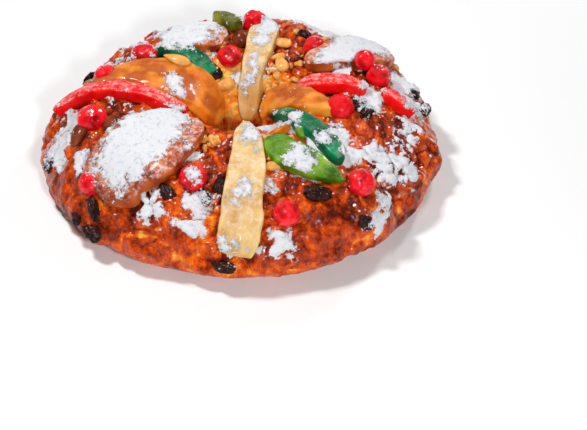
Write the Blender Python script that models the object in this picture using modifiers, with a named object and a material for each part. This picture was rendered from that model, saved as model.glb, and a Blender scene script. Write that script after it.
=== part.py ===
"""Kings' ring cake: a sweet dough ring with a small hole, baked with raisins and nuts and laid with candied fruit.

Metres, +Z up. The origin is on the table under the middle of the cake's box, and -Y is the front.
Places on the ring are two angles in degrees. Around turns about Z, with 0 at +X and 90 at the back.
Across goes over the section: 0 is the outer belly, 90 the crown and 180 the wall of the hole.
"""

import itertools
import math

import bmesh
import bpy
import numpy as np
from mathutils import Matrix, Vector

MM = 0.001

# Middle of the hole, off the origin because the toppings hang over a little more on one side
HOLE_X = -0.7 * MM
HOLE_Y = 1.4 * MM

# The ring's section, and how far it is from round
BELLY_RADIUS = 142 * MM
HOLE_RADIUS = 20 * MM
CROWN_RADIUS = 76 * MM
CROWN_HEIGHT = 59 * MM
BELLY_HEIGHT = 14 * MM
DEPTH_SHARE = 0.945
OUTER_ROUNDNESS = 1.1
INNER_ROUNDNESS = 0.8
THROAT_SQUARENESS = 0.7
FOOT_STEEPNESS = 1.6

# Facets of the ring, around and across
RING_STEPS = 88
SECTION_STEPS = 24

# Relief of the dough: bulge height and bulge width, from broad lobes to crags
LOBE = (3.0 * MM, 46 * MM)
LUMP = (2.4 * MM, 19 * MM)
CRAG = (1.5 * MM, 12 * MM)
NOISE_SEED = 7

# Creases, sags and, with a negative depth, swellings: around, across, length across, width around and depth in mm
FOLDS = (
    (272, 10, 34, 8, 8),
    (262, 62, 26, 6, 4),
    (205, 40, 30, 6, 5),
    (300, 66, 40, 6, 4),
    (338, 62, 38, 7, 5),
    (150, 38, 34, 7, 4),
    (62, 52, 36, 7, 4),
    (98, 40, 36, 7, 4),
    (322, 28, 36, 7, 5),
    (248, 30, 30, 7, 4),
    (186, 20, 30, 7, 4),
    (146, 44, 90, 100, 8),
    (288, 8, 50, 70, -4),
    (350, 14, 40, 40, -3),
)

# Gap that touching pieces keep, and how far a laid piece starts under the crust before it is cut clear
GAP = 0.35 * MM
SINK = 4 * MM

# How much of a fold a laid piece follows, and the share of its length over which either end is rounded
FOLD_FOLLOWED = 0.8
END_SHARE = 0.15

# Points closer than a hair are one, and a cut that leaves less than this share of the volume has failed
HAIR = 0.05 * MM
LEAST_LEFT = 0.25

# Edges sharper than this stay sharp in the shading of a topping
SHARP_ANGLE = math.radians(50)

# Colour and roughness of each material
LOOKS = {
    "baked_crust": ((0.48, 0.13, 0.02), 0.45),
    "cherry": ((0.72, 0.01, 0.03), 0.15),
    "red_strip": ((0.75, 0.03, 0.02), 0.25),
    "green_strip": ((0.01, 0.20, 0.08), 0.3),
    "light_slab": ((0.20, 0.45, 0.03), 0.25),
    "olive_lump": ((0.14, 0.16, 0.01), 0.25),
    "pale_strip": ((0.72, 0.50, 0.17), 0.3),
    "orange_slice": ((0.75, 0.26, 0.02), 0.25),
    "amber_slab": ((0.55, 0.13, 0.02), 0.45),
    "nut_cream": ((0.75, 0.42, 0.12), 0.4),
    "nut_skin": ((0.22, 0.04, 0.01), 0.4),
    "raisin": ((0.02, 0.008, 0.006), 0.35),
}

# Laid fruit, the lowest first: name, thickness, grid steps along and beside, and the share of its half width left
# at its first and at its last edge. Then its path, as stations of around, across, lift and half width.
FRUIT = (
    (
        "orange_slice_left", 7, (12, 4), (0.5, 0.5),
        (
            (176, 62, 0, 3), (169, 72, 1, 9), (163, 88, 1, 15), (161, 108, 2, 19),
            (160, 128, 3, 19), (160, 148, 3, 16), (158, 166, 2, 13),
        ),
    ),
    (
        "orange_slice_right", 7, (10, 3), (0.5, 0.5),
        ((28, 162, 1, 8), (18, 146, 2, 11), (2, 130, 2, 13), (-11, 112, 2, 11), (-17, 98, 1, 7), (-20, 88, 0, 3)),
    ),
    (
        "pale_strip_back", 5, (12, 2), (0.5, 0.5),
        ((80, 74, 2, 3), (79, 84, 2, 10), (77, 102, 2, 10), (76, 124, 2, 9), (75, 148, 2, 9), (74, 172, 1, 8)),
    ),
    (
        "pale_strip_front", 6, (11, 2), (0.4, 0.8),
        ((279, 116, 2, 3), (277, 98, 2, 9), (275, 76, 2, 12), (273, 52, 2, 13), (272, 34, 2, 13), (271, 19, 1, 12)),
    ),
    (
        "amber_slab_left", 6, (9, 6), (0.9, 0.6),
        ((224, 110, 2, 12), (228, 96, 3, 22), (229, 78, 3, 29), (228, 58, 2, 28), (226, 36, 0, 22)),
    ),
    (
        "amber_slab_rear", 7, (8, 4), (0.7, 0.7),
        ((133, 82, 1, 8), (125, 85, 3, 15), (115, 91, 3, 18), (107, 96, 2, 14), (102, 99, 0, 8)),
    ),
    (
        "amber_slab_right", 7, (7, 4), (0.7, 0.7),
        ((37, 102, 1, 5), (34, 90, 3, 12), (32, 76, 3, 17), (31, 62, 3, 18), (30, 47, 3, 12)),
    ),
    (
        "red_strip_left", 6, (13, 1), (0.4, 0.8),
        ((180, 36, 1, 3), (179, 50, 2, 6), (178, 72, 3, 6), (183, 92, 3, 6), (195, 106, 3, 6), (213, 116, 3, 5)),
    ),
    ("red_strip_back", 6, (8, 1), (0.4, 0.7), ((6, 126, 1, 2), (11, 108, 3, 6), (8, 94, 3, 7), (0, 80, 2, 4))),
    ("red_strip_right", 6, (6, 1), (0.5, 0.5), ((2, 70, 1, 3), (0, 58, 1, 6), (-2, 46, 0, 4))),
    (
        "green_strip_rear", 6, (7, 1), (0.6, 0.9),
        ((138, 84, 1, 4), (133, 96, 3, 6), (130, 110, 3, 7), (128, 127, 2, 7)),
    ),
    (
        "green_strip_front", 6, (10, 1), (0.5, 0.7),
        ((-28, 142, 2, 3), (-38, 112, 3, 6), (-41, 96, 3, 7), (-45, 80, 2, 7), (-48, 66, 1, 4)),
    ),
    (
        "light_slab_front", 7, (6, 4), (0.6, 0.6),
        ((295, 93, 2, 6), (298, 82, 3, 12), (302, 69, 3, 13), (305, 57, 1, 7)),
    ),
    ("olive_lump_rear", 8, (6, 3), (0.6, 0.6), ((102, 66, 3, 5), (98, 74, 4, 7), (92, 84, 3, 5))),
)

# Facets of a cherry, a nut, a raisin and a pine nut, around and from pole to pole
CHERRY_FACETS = (9, 6)
NUT_FACETS = (8, 6)
RAISIN_FACETS = (7, 5)
PINE_NUT_FACETS = (6, 4)

# A cherry's height as a share of its width, and the depth and width of its stalk's dimple as shares of its radius
CHERRY_HEIGHT = 0.9
DIMPLE = (0.16, 0.3)

# Thickness as a share of width, and how much narrower a long nut is at its pointed end
RAISIN_THICKNESS = 0.8
NUT_THICKNESS = 0.62
NUT_TAPER = 0.22

# Half the length, width and thickness of a pine nut, and how far its middle and a raisin's stand above the dough
PINE_NUT_HALF = (5.5 * MM, 2.8 * MM, 2.6 * MM)
PINE_NUT_LIFT = 0.8 * MM
RAISIN_LIFT = 1.5 * MM

# Cherries: around, across, diameter and lift of the middle above the dough, in mm
CHERRIES = (
    (146, 82, 19, 5),
    (166, 70, 17, 4),
    (198, 66, 21, 5),
    (221, 40, 17, 2),
    (255, 68, 18, 5),
    (101, 114, 17, 5),
    (85, 75, 18, 6),
    (47, 88, 17, 5),
    (20, 76, 15, 9),
    (13, 69, 18, 5),
    (345, 91, 19, 5),
    (312, 48, 18, 5),
    (286, 45, 18, 5),
    (120, 12, 18, 2),
    (70, 10, 17, 1),
)

# Raisins: around, across, length, width and turn, in mm and degrees
RAISINS = (
    (199, 22, 13, 8, 20),
    (227, 25, 15, 7, 50),
    (222, 9, 12, 8, 80),
    (229, 6, 15, 10, 95),
    (248, 56, 16, 9, 60),
    (260, 59, 12, 8, 40),
    (265, 66, 16, 7, 5),
    (268, 8, 13, 8, 80),
    (298, 53, 17, 10, 60),
    (308, 24, 11, 8, 20),
    (59, 80, 12, 9, 70),
    (14, 38, 14, 9, 80),
    (8, 28, 14, 9, 60),
    (352, 84, 12, 9, 20),
    (347, 77, 13, 8, 80),
    (119, 124, 11, 9, 0),
    (104, 20, 13, 9, 70),
    (48, 18, 14, 9, 30),
    (150, 18, 13, 8, 60),
)

# Large nuts: name, around, across, length, width, turn, lift and material
NUTS = (
    ("hazelnut", 91, 94, 14, 13, 0, 3, "nut_skin"),
    ("almond_skin_1", 202, 54, 19, 11, 50, 2, "nut_skin"),
    ("almond_skin_2", 206, 74, 20, 12, 60, 2, "nut_skin"),
    ("almond_1", 146, 104, 19, 9, 15, 11, "nut_cream"),
    ("almond_2", 112, 138, 15, 9, 90, 2, "nut_cream"),
    ("almond_3", 66, 92, 15, 9, 100, 2, "nut_cream"),
    ("almond_4", 287, 79, 14, 7, 80, 3, "nut_cream"),
    ("almond_5", 52, 112, 15, 9, 60, 2, "nut_cream"),
)

# Pine nuts baked into the crust: around, across and turn
PINE_NUTS = (
    (254, 101, 30),
    (245, 101, 100),
    (283, 70, 20),
    (288, 92, 70),
    (60, 106, 130),
    (72, 120, 40),
    (52, 70, 10),
    (122, 104, 60),
    (330, 62, 110),
    (240, 50, 45),
    (180, 50, 60),
    (318, 52, 20),
    (96, 30, 0),
    (30, 36, 75),
)


def clear_scene():
    """Remove whatever the startup file holds."""
    for old in list(bpy.data.objects):
        bpy.data.objects.remove(old)


def new_collection(name):
    """A collection linked to the scene."""
    made = bpy.data.collections.new(name)
    bpy.context.scene.collection.children.link(made)
    return made


def value_noise(points, cell, seed):
    """Smooth noise from -1 to 1: random values at the corners of a cubic lattice, blended inside each cube."""
    scaled = points / cell
    corner = np.floor(scaled).astype(np.int64)
    inside = scaled - corner
    inside = inside**3 * (inside * (inside * 6 - 15) + 10)
    total = np.zeros(points.shape[:-1])
    for step in itertools.product((0, 1), repeat=3):
        at = corner + step
        mixed = (at[..., 0] * 73856093) ^ (at[..., 1] * 19349663) ^ (at[..., 2] * 83492791) ^ (seed * 2654435761)
        mixed = ((mixed ^ (mixed >> 13)) * 1274126177) & 0x7FFFFFFF
        value = (mixed % 20011) / 10005.5 - 1
        share = np.where(np.array(step) == 1, inside, 1 - inside).prod(-1)
        total += value * share
    return total


def section(across):
    """Radius and height of the smooth section: half an ellipse outside, a squarer wall to the hole, a flat foot."""
    cosine, sine = np.cos(across), np.sin(across)
    outer = cosine > 0
    reach = np.where(outer, BELLY_RADIUS - CROWN_RADIUS, CROWN_RADIUS - HOLE_RADIUS)
    swing = np.where(outer, np.abs(cosine), np.abs(cosine) ** THROAT_SQUARENESS)
    radius = CROWN_RADIUS + np.sign(cosine) * reach * swing
    rise = np.where(outer, np.abs(sine) ** OUTER_ROUNDNESS, np.abs(sine) ** INNER_ROUNDNESS)
    upper = BELLY_HEIGHT + (CROWN_HEIGHT - BELLY_HEIGHT) * rise
    lower = BELLY_HEIGHT * (1 - np.minimum(1, FOOT_STEEPNESS * np.abs(sine)))
    return radius, np.where(sine > 0, upper, lower)


def smooth_ring(around, across):
    """The ring with no relief, slightly shorter from front to back than from side to side."""
    radius, height = section(across)
    x = HOLE_X + np.cos(around) * radius
    y = HOLE_Y + np.sin(around) * radius * DEPTH_SHARE
    return np.stack([x, y, height + 0 * around], -1)


def ring_directions(around, across, step=1e-3):
    """How fast a point of the smooth ring moves with either angle, and the unit normal there."""
    here = smooth_ring(around, across)
    east = (smooth_ring(around + step, across) - here) / step
    north = (smooth_ring(around, across + step) - here) / step
    normal = np.cross(east, north)
    return east, north, normal / np.maximum(np.linalg.norm(normal, axis=-1, keepdims=True), 1e-12)


def lifted(base, around, across, height):
    """Points of the smooth ring moved along its normal by their height."""
    return base + ring_directions(around, across)[2] * height[..., None]


def fold_depth(points):
    """How deep the folds of dough are: each is a bell shape pressed into the surface."""
    depth = np.zeros(points.shape[:-1])
    for around, across, length, width, deep in FOLDS:
        here = np.array([math.radians(around)]), np.array([math.radians(across)])
        middle = smooth_ring(*here)[0]
        down = smooth_ring(here[0], here[1] + 0.01)[0] - middle
        down /= np.linalg.norm(down)
        offset = (points - middle) / MM
        run = offset @ down
        beside = np.sqrt(np.maximum((offset**2).sum(-1) - run**2, 0))
        depth += deep * MM * np.exp(-((run / (length / 2)) ** 4) - (beside / (width / 2)) ** 2)
    return depth


def relief(points, across):
    """Height of the dough's relief over the smooth ring, fading to nothing on the flat foot."""
    lobes = LOBE[0] * value_noise(points, LOBE[1], NOISE_SEED)
    lumps = LUMP[0] * value_noise(points, LUMP[1], NOISE_SEED + 1)
    crags = CRAG[0] * (0.5 - 2 * np.abs(value_noise(points, CRAG[1], NOISE_SEED + 2)))
    fade = np.clip(np.sin(across) * FOOT_STEEPNESS + 1, 0, 1)
    return (lobes + lumps + crags - fold_depth(points)) * fade


def dough_point(around, across):
    """A point of the dough's surface with its relief."""
    base = smooth_ring(around, across)
    return lifted(base, around, across, relief(base, across))


def laid_point(around, across, lift):
    """A point that a laid piece follows: the dough's lobes and folds without its lumps and crags."""
    base = smooth_ring(around, across)
    height = LOBE[0] * value_noise(base, LOBE[1], NOISE_SEED) - FOLD_FOLLOWED * fold_depth(base) + lift
    return lifted(base, around, across, height)


def material(name):
    """A plain Principled material with the colour and roughness of its name."""
    colour, roughness = LOOKS[name]
    made = bpy.data.materials.get(name) or bpy.data.materials.new(name)
    made.use_nodes = True
    shader = made.node_tree.nodes["Principled BSDF"]
    shader.inputs["Base Color"].default_value = (*colour, 1)
    shader.inputs["Roughness"].default_value = roughness
    shader.inputs["Metallic"].default_value = 0
    return made


def coords_of(mesh):
    """The mesh's vertices as an array."""
    flat = np.empty(len(mesh.vertices) * 3)
    mesh.vertices.foreach_get("co", flat)
    return flat.reshape(-1, 3)


def set_coords(mesh, coords):
    """Put an array of points back into the mesh."""
    mesh.vertices.foreach_set("co", coords.astype(np.float32).ravel())
    mesh.update()


def named(obj, name, home):
    """Give the object and its mesh their name, and move it to its collection."""
    obj.name = name
    obj.data.name = name
    for old in list(obj.users_collection):
        old.objects.unlink(obj)
    home.objects.link(obj)
    return obj


def settle(obj):
    """Apply the object's modifiers to its mesh."""
    graph = bpy.context.evaluated_depsgraph_get()
    fresh = bpy.data.meshes.new_from_object(obj.evaluated_get(graph))
    obj.modifiers.clear()
    obj.data = fresh
    fresh.name = obj.name
    return obj


def split_faces(mesh):
    """Make every face a triangle, so that a piece and its guide have the same diagonals."""
    work = bmesh.new()
    work.from_mesh(mesh)
    bmesh.ops.triangulate(work, faces=work.faces[:])
    work.to_mesh(mesh)
    work.free()


def as_guide(obj, guides):
    """A slightly larger copy of a piece as it was before any cut, for cutting what is laid after it."""
    guide = obj.copy()
    guide.data = obj.data.copy()
    guides.objects.link(guide)
    guide.name = "guide_" + obj.name
    swell = guide.modifiers.new("swell", "DISPLACE")
    swell.strength = GAP
    swell.mid_level = 0
    settle(guide)
    guide.hide_render = True
    guide.display_type = "WIRE"


def near(first, second, margin=1 * MM):
    """Whether the boxes of two objects meet."""
    spans = []
    for obj in (first, second):
        corners = [obj.matrix_world @ Vector(c) for c in obj.bound_box]
        spans.append([(min(c[i] for c in corners), max(c[i] for c in corners)) for i in range(3)])
    return all(a[0] < b[1] + margin and b[0] < a[1] + margin for a, b in zip(*spans))


def closed_volume(mesh):
    """The mesh's volume, or nothing where an edge doesn't join two faces."""
    work = bmesh.new()
    work.from_mesh(mesh)
    whole = all(len(edge.link_faces) == 2 for edge in work.edges)
    volume = work.calc_volume() if whole else 0.0
    work.free()
    return volume


def boolean(obj, operation, other, solver):
    """One Boolean of the piece with an object or a collection, applied, and its scraps dropped."""
    step = obj.modifiers.new(operation.lower(), "BOOLEAN")
    step.operation = operation
    step.solver = solver
    if isinstance(other, bpy.types.Collection):
        step.operand_type = "COLLECTION"
        step.collection = other
    else:
        step.object = other
    settle(obj)
    if obj.data.polygons:
        tidy_mesh(obj.data)


def carve(obj, guide):
    """Cut the guide out of the piece; where that leaves an open or nearly empty mesh, try again a hair away."""
    uncut = obj.data.copy()
    least = LEAST_LEFT * closed_volume(uncut)
    place = guide.location.copy()
    for shift, solver in itertools.product((0, 1, -1, 2), ("EXACT", "MANIFOLD")):
        guide.location = place + Vector((1, 0.7, 0.4)) * shift * HAIR
        boolean(obj, "DIFFERENCE", guide, solver)
        guide.location = place
        if closed_volume(obj.data) > least:
            return
        obj.data = uncut.copy()
    print("not cut:", obj.name, guide.name)


def cut_clear(obj, laid):
    """Cut away what of the piece would lie in the dough or in a piece laid before it."""
    bpy.context.view_layer.update()
    for guide in laid:
        if near(obj, guide):
            carve(obj, guide)


def tidy_mesh(mesh):
    """After a cut: merge points a hair apart, make every face a triangle, and keep only the largest shell."""
    work = bmesh.new()
    work.from_mesh(mesh)
    bmesh.ops.remove_doubles(work, verts=work.verts[:], dist=HAIR)
    bmesh.ops.triangulate(work, faces=work.faces[:])
    bmesh.ops.dissolve_degenerate(work, edges=work.edges[:], dist=HAIR)
    bmesh.ops.triangulate(work, faces=work.faces[:])
    waiting = set(work.faces)
    shells = []
    while waiting:
        front = [waiting.pop()]
        shell = set(front)
        while front:
            for edge in front.pop().edges:
                if len(edge.link_faces) != 2:
                    continue
                fresh = waiting.intersection(edge.link_faces)
                waiting -= fresh
                shell |= fresh
                front += fresh
        shells.append(shell)
    largest = max(shells, key=lambda shell: sum(face.calc_area() for face in shell))
    scraps = [face for shell in shells if shell is not largest for face in shell]
    bmesh.ops.delete(work, geom=scraps, context="FACES")
    work.to_mesh(mesh)
    work.free()


def finish(obj, look, guides):
    """Colour and cut a topping, and add its guide for the pieces laid after it."""
    obj.data.materials.clear()
    obj.data.materials.append(material(look))
    split_faces(obj.data)
    laid = list(guides.objects)
    as_guide(obj, guides)
    cut_clear(obj, laid)
    obj.data.shade_smooth()
    obj.data.set_sharp_from_angle(angle=SHARP_ANGLE)


def place_on_dough(around, across, turn, lift):
    """Matrix that sets local Z along the dough's normal and local X at turn degrees from straight down the side."""
    angles = np.array([math.radians(around)]), np.array([math.radians(across)])
    normal = Vector(ring_directions(*angles)[2][0])
    ahead = Vector(smooth_ring(angles[0], angles[1] - 0.01)[0] - smooth_ring(*angles)[0])
    ahead = (ahead - normal * ahead.dot(normal)).normalized()
    ahead.rotate(Matrix.Rotation(math.radians(turn), 3, normal))
    spot = Vector(dough_point(*angles)[0]) + normal * lift
    axes = Matrix((ahead, normal.cross(ahead), normal)).transposed()
    return Matrix.Translation(spot) @ axes.to_4x4()


def make_ring(home):
    """The dough ring: a torus whose vertices are moved onto the section with its relief."""
    bpy.ops.mesh.primitive_torus_add(
        major_segments=RING_STEPS, minor_segments=SECTION_STEPS, major_radius=1, minor_radius=0.25
    )
    ring = named(bpy.context.object, "ring_loaf", home)
    coords = coords_of(ring.data)
    around = np.arctan2(coords[:, 1], coords[:, 0])
    across = np.arctan2(coords[:, 2], np.hypot(coords[:, 0], coords[:, 1]) - 1)
    set_coords(ring.data, dough_point(around, across))
    ring.data.materials.clear()
    ring.data.materials.append(material("baked_crust"))
    split_faces(ring.data)
    ring.data.shade_smooth()
    return ring


def unit_ball(name, facets, home):
    """A sphere of radius 1 with few facets, which a topping's own shape is made from."""
    bpy.ops.mesh.primitive_uv_sphere_add(segments=facets[0], ring_count=facets[1], radius=1)
    return named(bpy.context.object, name, home)


def make_pine_nut(index, around, across, turn, home):
    """One pine nut: a small pointed grain half sunk in the crust."""
    nut = unit_ball(f"pine_nut_{index}", PINE_NUT_FACETS, home)
    coords = coords_of(nut.data)[:, [2, 0, 1]]
    set_coords(nut.data, coords * np.array(PINE_NUT_HALF))
    split_faces(nut.data)
    nut.matrix_world = place_on_dough(around, across, turn, PINE_NUT_LIFT)
    return nut


def fuse_pine_nuts(ring, guides):
    """Join the pine nuts to the ring with one union, then remove them."""
    nuts = new_collection("pine_nuts")
    for index, (around, across, turn) in enumerate(PINE_NUTS, 1):
        as_guide(make_pine_nut(index, around, across, turn, nuts), guides)
    boolean(ring, "UNION", nuts, "EXACT")
    for nut in list(nuts.objects):
        bpy.data.objects.remove(nut)
    bpy.data.collections.remove(nuts)


def make_cherry(index, around, across, size, lift, home, guides):
    """A glace cherry: a sphere a little flattened, with the dimple of its stalk."""
    cherry = unit_ball(f"cherry_{index:02d}", CHERRY_FACETS, home)
    coords = coords_of(cherry.data)
    beside = np.hypot(coords[:, 0], coords[:, 1])
    dimple = DIMPLE[0] * np.exp(-((beside / DIMPLE[1]) ** 2)) * (coords[:, 2] > 0)
    coords[:, 2] = coords[:, 2] * CHERRY_HEIGHT - dimple
    coords *= 1 + 0.06 * value_noise(coords + index * 3.7, 0.9, NOISE_SEED)[:, None]
    set_coords(cherry.data, coords * size / 2 * MM)
    cherry.matrix_world = place_on_dough(around, across, 37 * index, lift * MM)
    finish(cherry, "cherry", guides)


def make_raisin(index, around, across, length, width, turn, home, guides):
    """A raisin: a small wrinkled pebble."""
    raisin = unit_ball(f"raisin_{index:02d}", RAISIN_FACETS, home)
    coords = coords_of(raisin.data)
    coords *= 1 + 0.14 * value_noise(coords + index * 5.3, 0.7, NOISE_SEED)[:, None]
    set_coords(raisin.data, coords * np.array([length, width, width * RAISIN_THICKNESS]) / 2 * MM)
    raisin.matrix_world = place_on_dough(around, across, turn, RAISIN_LIFT)
    finish(raisin, "raisin", guides)


def make_nut(name, around, across, length, width, turn, lift, look, home, guides):
    """An almond, which is long, flat and pointed at one end, or a hazelnut, which is round."""
    nut = unit_ball(name, NUT_FACETS, home)
    is_long = length > width * 1.2
    coords = coords_of(nut.data)[:, [2, 0, 1]]
    narrowing = 1 - NUT_TAPER * coords[:, 0] * is_long
    coords[:, 1:] *= narrowing[:, None]
    thickness = width * (NUT_THICKNESS if is_long else 1)
    set_coords(nut.data, coords * np.array([length, width, thickness]) / 2 * MM)
    nut.matrix_world = place_on_dough(around, across, turn, lift * MM)
    finish(nut, look, guides)


def smooth_path(stations, share):
    """Stations (around, across, lift, half width) read as one smooth curve at share 0 to 1 of its length."""
    table = np.array(stations, float)
    spot = share * (len(table) - 1)
    left = np.clip(np.floor(spot).astype(int), 0, len(table) - 2)
    t = (spot - left)[..., None]
    padded = np.vstack([2 * table[0] - table[1], table, 2 * table[-1] - table[-2]])
    a, b, c, d = (padded[left + i] for i in range(4))
    return b + 0.5 * t * (c - a + t * (2 * a - 5 * b + 4 * c - d + t * (3 * (b - c) + d - a)))


def width_left(share, ends):
    """Share of the half width at a place along a piece: 1, but rounded off like an ellipse towards either end."""
    rim = np.clip(1 - np.minimum(share, 1 - share) / END_SHARE, 0, 1)
    left = np.where(share < 0.5, *ends)
    return np.sqrt(1 - (1 - left**2) * rim**2)


def underside(stations, ends, share, side):
    """Points under a laid piece: share 0 to 1 runs along its path, and side -1 to 1 lies square to the path."""
    at = smooth_path(stations, share)
    around, across = np.radians(at[:, 0]), np.radians(at[:, 1])
    lift, half = at[:, 2] * MM, at[:, 3] * MM * width_left(share, ends)
    ahead = smooth_path(stations, np.clip(share + 0.01, 0, 1)) - smooth_path(stations, np.clip(share - 0.01, 0, 1))
    east, north, normal = ring_directions(around, across)
    run = np.radians(ahead[:, 0])[:, None] * east + np.radians(ahead[:, 1])[:, None] * north
    run /= np.linalg.norm(run, axis=1, keepdims=True)
    sideways = np.cross(normal, run) * (side * half)[:, None]
    around = around + (sideways * east).sum(1) / (east**2).sum(1)
    across = across + (sideways * north).sum(1) / (north**2).sum(1)
    return laid_point(around, across, lift - SINK)


def make_laid(name, thickness, steps, ends, stations, home, guides):
    """A laid piece of candied fruit: a grid that runs along a path over the dough, made thick by Solidify."""
    bpy.ops.mesh.primitive_grid_add(x_subdivisions=steps[0], y_subdivisions=steps[1], size=2)
    piece = named(bpy.context.object, name, home)
    coords = coords_of(piece.data)
    set_coords(piece.data, underside(stations, ends, (coords[:, 0] + 1) / 2, coords[:, 1]))
    wall = piece.modifiers.new("thickness", "SOLIDIFY")
    wall.thickness = thickness * MM + SINK
    wall.offset = 1
    settle(piece)
    look = name.rsplit("_", 1)[0]
    finish(piece, look, guides)


def main():
    """Build the ring, then lay the fruit, the cherries, the nuts and the raisins."""
    clear_scene()
    home = new_collection("kings_ring_cake")
    guides = new_collection("guides")
    ring = make_ring(home)
    as_guide(ring, guides)
    fuse_pine_nuts(ring, guides)
    for row in FRUIT:
        make_laid(*row, home, guides)
    for index, row in enumerate(CHERRIES, 1):
        make_cherry(index, *row, home, guides)
    for row in NUTS:
        make_nut(*row, home, guides)
    for index, row in enumerate(RAISINS, 1):
        make_raisin(index, *row, home, guides)
    guides.hide_render = True


main()
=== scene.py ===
# %% [markdown]
# Kings' ring cake
#
# The cake is a ring of sweet yeast dough with a small hole, with raisins and nuts baked in. Candied fruit,
# glace cherries and powder sugar lie on top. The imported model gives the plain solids, and this lesson
# replaces each of them with a finely made surface in the same place, in its own finish.

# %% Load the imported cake
import itertools
import math

import bpy
import numpy as np
from mathutils import Matrix, Vector


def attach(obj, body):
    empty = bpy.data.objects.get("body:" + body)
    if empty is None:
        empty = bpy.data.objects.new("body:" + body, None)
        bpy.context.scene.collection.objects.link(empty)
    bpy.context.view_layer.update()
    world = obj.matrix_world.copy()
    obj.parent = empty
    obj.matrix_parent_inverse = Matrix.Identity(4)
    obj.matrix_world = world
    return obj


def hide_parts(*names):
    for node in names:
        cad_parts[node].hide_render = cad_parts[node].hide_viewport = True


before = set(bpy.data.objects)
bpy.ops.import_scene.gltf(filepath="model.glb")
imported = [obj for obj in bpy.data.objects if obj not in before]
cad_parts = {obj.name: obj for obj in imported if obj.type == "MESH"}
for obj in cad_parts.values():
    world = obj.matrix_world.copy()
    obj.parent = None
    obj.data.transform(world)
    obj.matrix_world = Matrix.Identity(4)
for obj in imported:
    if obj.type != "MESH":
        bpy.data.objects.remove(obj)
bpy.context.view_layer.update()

MM = 0.001

# %% [markdown]
# The shape of the loaf
#
# A ring loaf could be a torus with a sculpted surface. Here it is a rule instead: two angles go in, around
# the ring and across its section, and a point comes out. So every topping is laid by the same two angles,
# and always touches the crust.

# %% The ring's section
HOLE_X, HOLE_Y = -0.7 * MM, 1.4 * MM
BELLY_RADIUS, HOLE_RADIUS, CROWN_RADIUS = 142 * MM, 20 * MM, 76 * MM
CROWN_HEIGHT, BELLY_HEIGHT = 59 * MM, 14 * MM
DEPTH_SHARE = 0.945
# A power under 1 makes a curve squarer than an ellipse, and one over 1 makes it slimmer
WALL_POWER, OUTER_RISE_POWER, INNER_RISE_POWER = 0.7, 1.1, 0.8
FOOT_SLOPE = 1.6


def section(across):
    """Radius and height across the ring: half an ellipse outside, a squarer wall inside, a flat foot."""
    cosine, sine = np.cos(across), np.sin(across)
    outer = cosine > 0
    reach = np.where(outer, BELLY_RADIUS - CROWN_RADIUS, CROWN_RADIUS - HOLE_RADIUS)
    share = np.where(outer, np.abs(cosine), np.abs(cosine) ** WALL_POWER)
    radius = CROWN_RADIUS + np.sign(cosine) * reach * share
    rise = np.where(outer, np.abs(sine) ** OUTER_RISE_POWER, np.abs(sine) ** INNER_RISE_POWER)
    upper = BELLY_HEIGHT + (CROWN_HEIGHT - BELLY_HEIGHT) * rise
    lower = BELLY_HEIGHT * (1 - np.minimum(1, FOOT_SLOPE * np.abs(sine)))
    return radius, np.where(sine > 0, upper, lower)


def smooth_ring(around, across):
    """A point of the ring with no relief: the section turned about Z, a little shorter from front to back."""
    radius, height = section(across)
    x = HOLE_X + np.cos(around) * radius
    y = HOLE_Y + np.sin(around) * radius * DEPTH_SHARE
    return np.stack([x, y, height + 0 * around], -1)


def unit(vectors):
    """Vectors brought to length 1."""
    return vectors / np.maximum(np.linalg.norm(vectors, axis=-1, keepdims=True), 1e-15)


def ring_directions(around, across, step=1e-3):
    """How far a point moves per radian of each angle, measured over one step, and the unit normal."""
    half = step / 2
    east = (smooth_ring(around + half, across) - smooth_ring(around - half, across)) / step
    north = (smooth_ring(around, across + half) - smooth_ring(around, across - half)) / step
    return east, north, unit(np.cross(east, north))


def at_degrees(around, across):
    """One place on the ring, given in degrees, as the arrays of radians that the functions above take."""
    return np.radians([around]), np.radians([across])


# %% [markdown]
# The relief of the dough
#
# Risen dough bulges in broad lobes, with lumps where nuts and raisins push from inside, and cracks where
# the crust tore in the oven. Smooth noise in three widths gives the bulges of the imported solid. Finer
# layers add the pebbles, blisters and cracks that only a close look shows.

# %% Noise and relief
LOBE, LUMP, CRAG = (3.0 * MM, 46 * MM), (2.4 * MM, 19 * MM), (1.5 * MM, 12 * MM)
NOISE_SEED = 7
# Each fold is around and across in degrees, then length, width and depth in mm
FOLDS = (
    (272, 10, 34, 8, 8), (262, 62, 26, 6, 4), (205, 40, 30, 6, 5), (300, 66, 40, 6, 4), (338, 62, 38, 7, 5),
    (150, 38, 34, 7, 4), (62, 52, 36, 7, 4), (98, 40, 36, 7, 4), (322, 28, 36, 7, 5), (248, 30, 30, 7, 4),
    (186, 20, 30, 7, 4), (146, 44, 90, 100, 8), (288, 8, 50, 70, -4), (350, 14, 40, 40, -3),
)
BROAD_FOLDS = tuple(fold for fold in FOLDS if fold[3] > 20)
PEBBLE_LEVEL, CREASE_WIDTH = 0.6, 0.13


def lattice_random(at, seed):
    """A random number from -1 to 1 that belongs to a lattice corner: its three counts are mixed to one."""
    mixed = (at[..., 0] * 73856093) ^ (at[..., 1] * 19349663) ^ (at[..., 2] * 83492791) ^ (seed * 2654435761)
    mixed = ((mixed ^ (mixed >> 13)) * 1274126177) & 0x7FFFFFFF
    return (mixed % 20011) / 10005.5 - 1


def value_noise(points, cell, seed):
    """Smooth noise from -1 to 1: random values at the corners of a lattice of cubes, blended in between."""
    scaled = points / cell
    corner = np.floor(scaled).astype(np.int64)
    inside = scaled - corner
    inside = inside**3 * (inside * (inside * 6 - 15) + 10)
    total = np.zeros(points.shape[:-1])
    for step in itertools.product((0, 1), repeat=3):
        share = np.where(np.array(step) == 1, inside, 1 - inside).prod(-1)
        total += lattice_random(corner + step, seed) * share
    return total


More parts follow.
